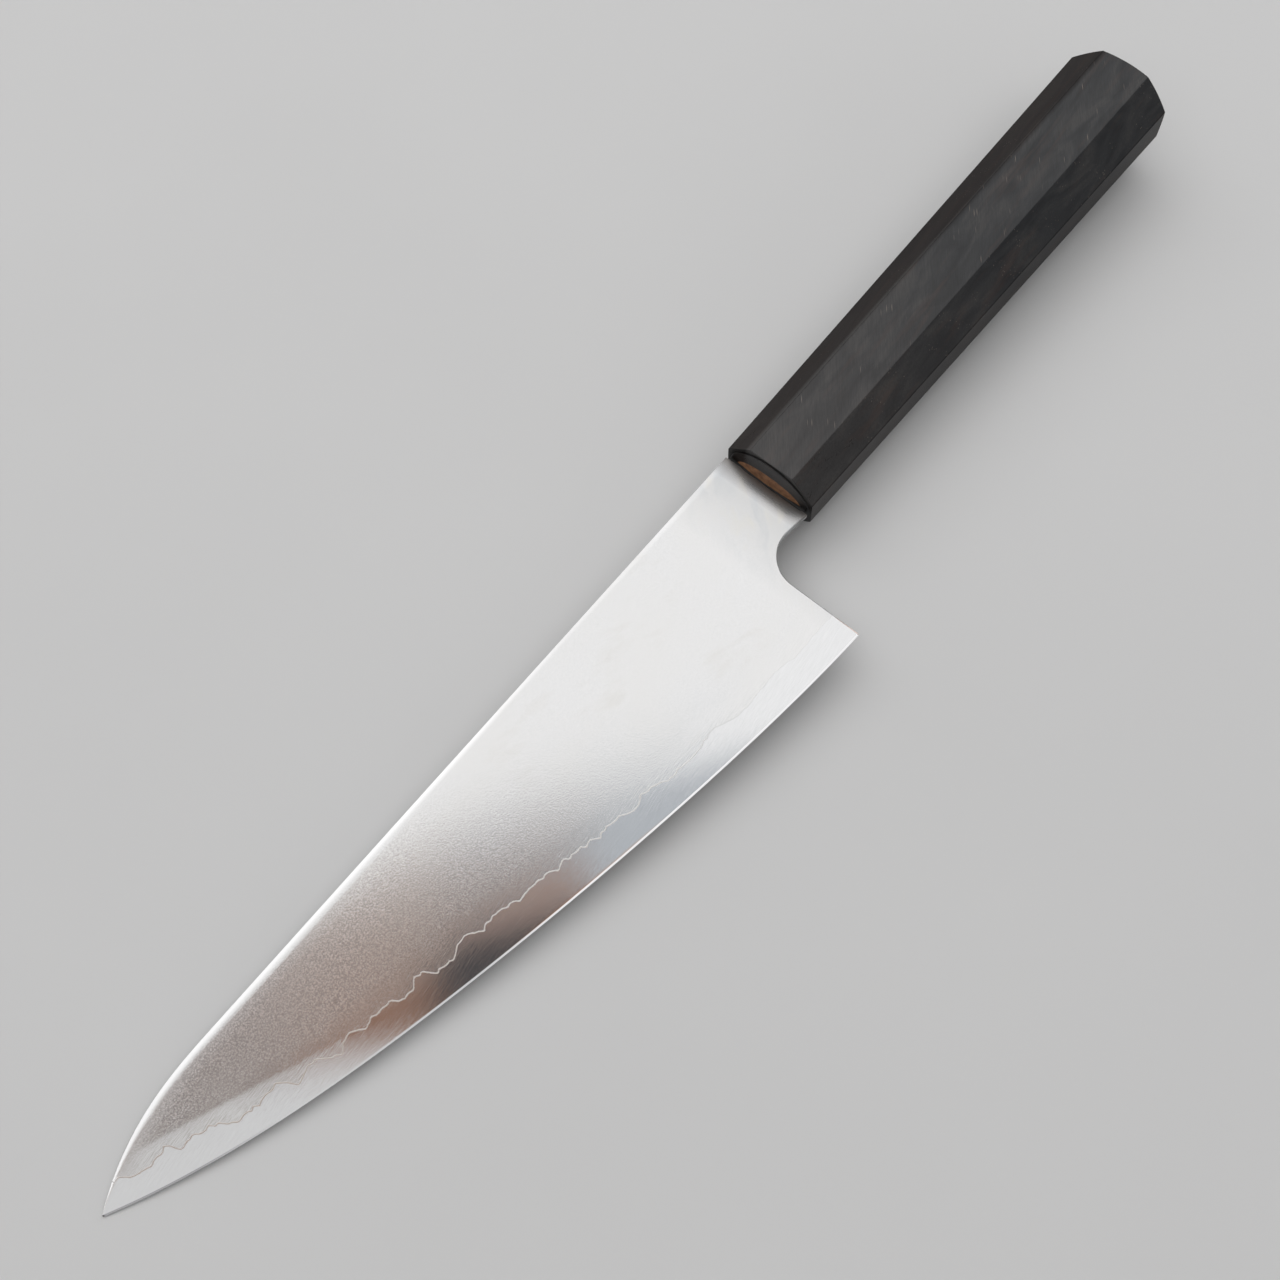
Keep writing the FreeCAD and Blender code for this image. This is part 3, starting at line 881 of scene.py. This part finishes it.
def build_bead():
    """Uneven black bead: out of the plug's slot, over, and down onto the blade's faces."""
    points, faces = [], []
    for x, grow, wander in BEAD_PROFILE:
        points += [to_row(*p) for p in bead_ring(x, grow, wander)]
    for r in range(len(BEAD_PROFILE) - 1):
        for n in range(BEAD_STEPS):
            m = (n + 1) % BEAD_STEPS
            a, b = r * BEAD_STEPS, (r + 1) * BEAD_STEPS
            faces.append((a + n, a + m, b + m, b + n))
    last = (len(BEAD_PROFILE) - 1) * BEAD_STEPS
    faces.append(tuple(range(BEAD_STEPS))[::-1])
    faces.append(tuple(last + n for n in range(BEAD_STEPS)))
    mesh = bpy.data.meshes.new("bead")
    mesh.from_pydata(points, [], faces)
    turn_outward(mesh)
    mesh.shade_smooth()
    mesh.set_sharp_from_angle(angle=math.radians(50))
    mesh.materials.append(MATERIALS["adhesive"])
    bead = bpy.data.objects.new("adhesive_bead", mesh)
    bpy.context.scene.collection.objects.link(bead)
    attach(bead, "root")
    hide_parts("tang_adhesive")


build_bead()
for node, slot in (("handle", "ebony"), ("tang_plug", "plug_wood")):
    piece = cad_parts[node]
    piece.data.materials.clear()
    piece.data.materials.append(MATERIALS[slot])


# ---------------------------------------------------------------------------------------------
# Floor, lights and camera
# ---------------------------------------------------------------------------------------------

def make_floor():
    """Round floor, just under the knife."""
    radius, sides, level = 5.0, 96, -0.0001
    turns = [2 * math.pi * n / sides for n in range(sides)]
    mesh = bpy.data.meshes.new("floor")
    rim = [(radius * math.cos(turn), radius * math.sin(turn), level) for turn in turns]
    mesh.from_pydata(rim, [], [range(sides)])
    mesh.materials.append(pale_floor())
    floor = bpy.data.objects.new("floor", mesh)
    bpy.context.scene.collection.objects.link(floor)


# Sides of the gap between the softboxes, and the direction that it runs in, in degrees
LEFT, RIGHT = -1, 1
GAP_TURN = -39.5


def softbox(name, edge_turn, edge_distance, depth, length, radiance, side, slide=0.0, height=1.0):
    """Large soft light overhead. One long edge runs at edge_turn degrees and passes edge_distance
    from the point above the origin, on the given side of it; the light reaches depth further out.
    The middle of its length is moved by slide along that edge."""
    turn = math.radians(edge_turn)
    along = Vector((math.cos(turn), math.sin(turn), 0))
    outward = Vector((-math.sin(turn), math.cos(turn), 0)) * side
    light = bpy.data.lights.new(name, "AREA")
    light.shape = "RECTANGLE"
    light.size, light.size_y = length, depth
    # With this energy, the light's colour is its radiance.
    light.energy = math.pi * length * depth
    light.color = radiance
    lamp = bpy.data.objects.new(name, light)
    lamp.location = outward * (edge_distance + depth / 2) + along * slide + Vector((0, 0, height))
    lamp.rotation_euler = (0, 0, turn)
    lamp.visible_camera = False
    bpy.context.scene.collection.objects.link(lamp)


def make_lights():
    """Two broad softboxes with a gap between them, the left one carried on by a brighter one. Cards
    in the gap colour what the blade reflects: cool grey near the heel, then browns, then white at
    the tip. A low, dim panel on the right lifts the facets that face it."""
    white = (1.28, 1.28, 1.28)
    softbox("softbox_left", GAP_TURN, 0.205, 0.45, 2.2, white, LEFT)
    softbox("softbox_far", GAP_TURN, 0.655, 0.9, 3.0, (1.42, 1.42, 1.42), LEFT)
    softbox("softbox_right", GAP_TURN, -0.030, 0.9, 2.0, (0.92, 0.92, 0.92), RIGHT)
    softbox("softbox_low", 0, 0.8, 2.5, 4.0, (0.22, 0.22, 0.22), RIGHT, height=0.5)
    # Each card: name, nearer and further edge across the gap, start and end along it, radiance.
    # They lie side by side, because where two overlapped their light would add up.
    cards = [
        ("cool_card", 0.108, 0.205, -0.60, 0.045, (0.64, 0.68, 0.72)),
        ("slate_card", 0.152, 0.205, 0.045, 0.175, (0.53, 0.53, 0.54)),
        ("brown_card", 0.108, 0.152, 0.045, 0.175, (0.45, 0.32, 0.27)),
        ("shade_card", 0.030, 0.108, 0.045, 0.175, (0.035, 0.035, 0.04)),
        ("warm_card", 0.030, 0.095, 0.175, 0.30, (0.33, 0.175, 0.115)),
        ("haze_card", 0.095, 0.205, 0.175, 0.30, (0.52, 0.42, 0.37)),
        ("tan_card", 0.030, 0.095, 0.30, 0.62, (0.29, 0.235, 0.21)),
        ("grey_card", 0.095, 0.205, 0.30, 0.62, (0.52, 0.455, 0.43)),
        ("tip_strip", 0.10, 0.205, 0.62, 0.95, white),
    ]
    for name, near, far, start, end, radiance in cards:
        softbox(name, GAP_TURN, near, far - near, end - start, radiance, LEFT, slide=(start + end) / 2)
    bpy.context.scene.view_settings.view_transform = "Standard"


def make_surround():
    """Dark ceiling above a paler surround, so that what faces the horizon doesn't mirror black."""
    world = bpy.data.worlds.new("studio")
    world.use_nodes = True
    tree = world.node_tree
    direction = tree.nodes.new("ShaderNodeTexCoord")
    split = tree.nodes.new("ShaderNodeSeparateXYZ")
    shades = tree.nodes.new("ShaderNodeValToRGB")
    ceiling = (0.06, 0.056, 0.054)
    set_stops(shades.color_ramp, [(0, 0.12), (0.1, 0.27), (0.3, 0.28), (0.62, 0.12), (0.85, ceiling)])
    tree.links.new(direction.outputs["Generated"], split.inputs["Vector"])
    tree.links.new(split.outputs["Z"], shades.inputs["Fac"])
    tree.links.new(shades.outputs["Color"], tree.nodes["Background"].inputs["Color"])
    bpy.context.scene.world = world


def make_camera():
    """The photograph's view of the knife."""
    camera = bpy.data.cameras.new("camera")
    camera.sensor_width = 36.0
    camera.lens = 50.625
    camera.clip_start = 0.01
    lens = bpy.data.objects.new("camera", camera)
    azimuth, elevation, distance = math.radians(39.602), math.radians(65.377), 0.38263
    aim = Vector((0.01173, -0.01228, 0.0))
    back = Vector((
        math.cos(elevation) * math.cos(azimuth),
        math.cos(elevation) * math.sin(azimuth),
        math.sin(elevation),
    ))
    lens.location = aim + back * distance
    lens.rotation_euler = back.to_track_quat("Z", "Y").to_euler()
    bpy.context.scene.collection.objects.link(lens)
    bpy.context.scene.camera = lens


make_floor()
make_lights()
make_surround()
make_camera()
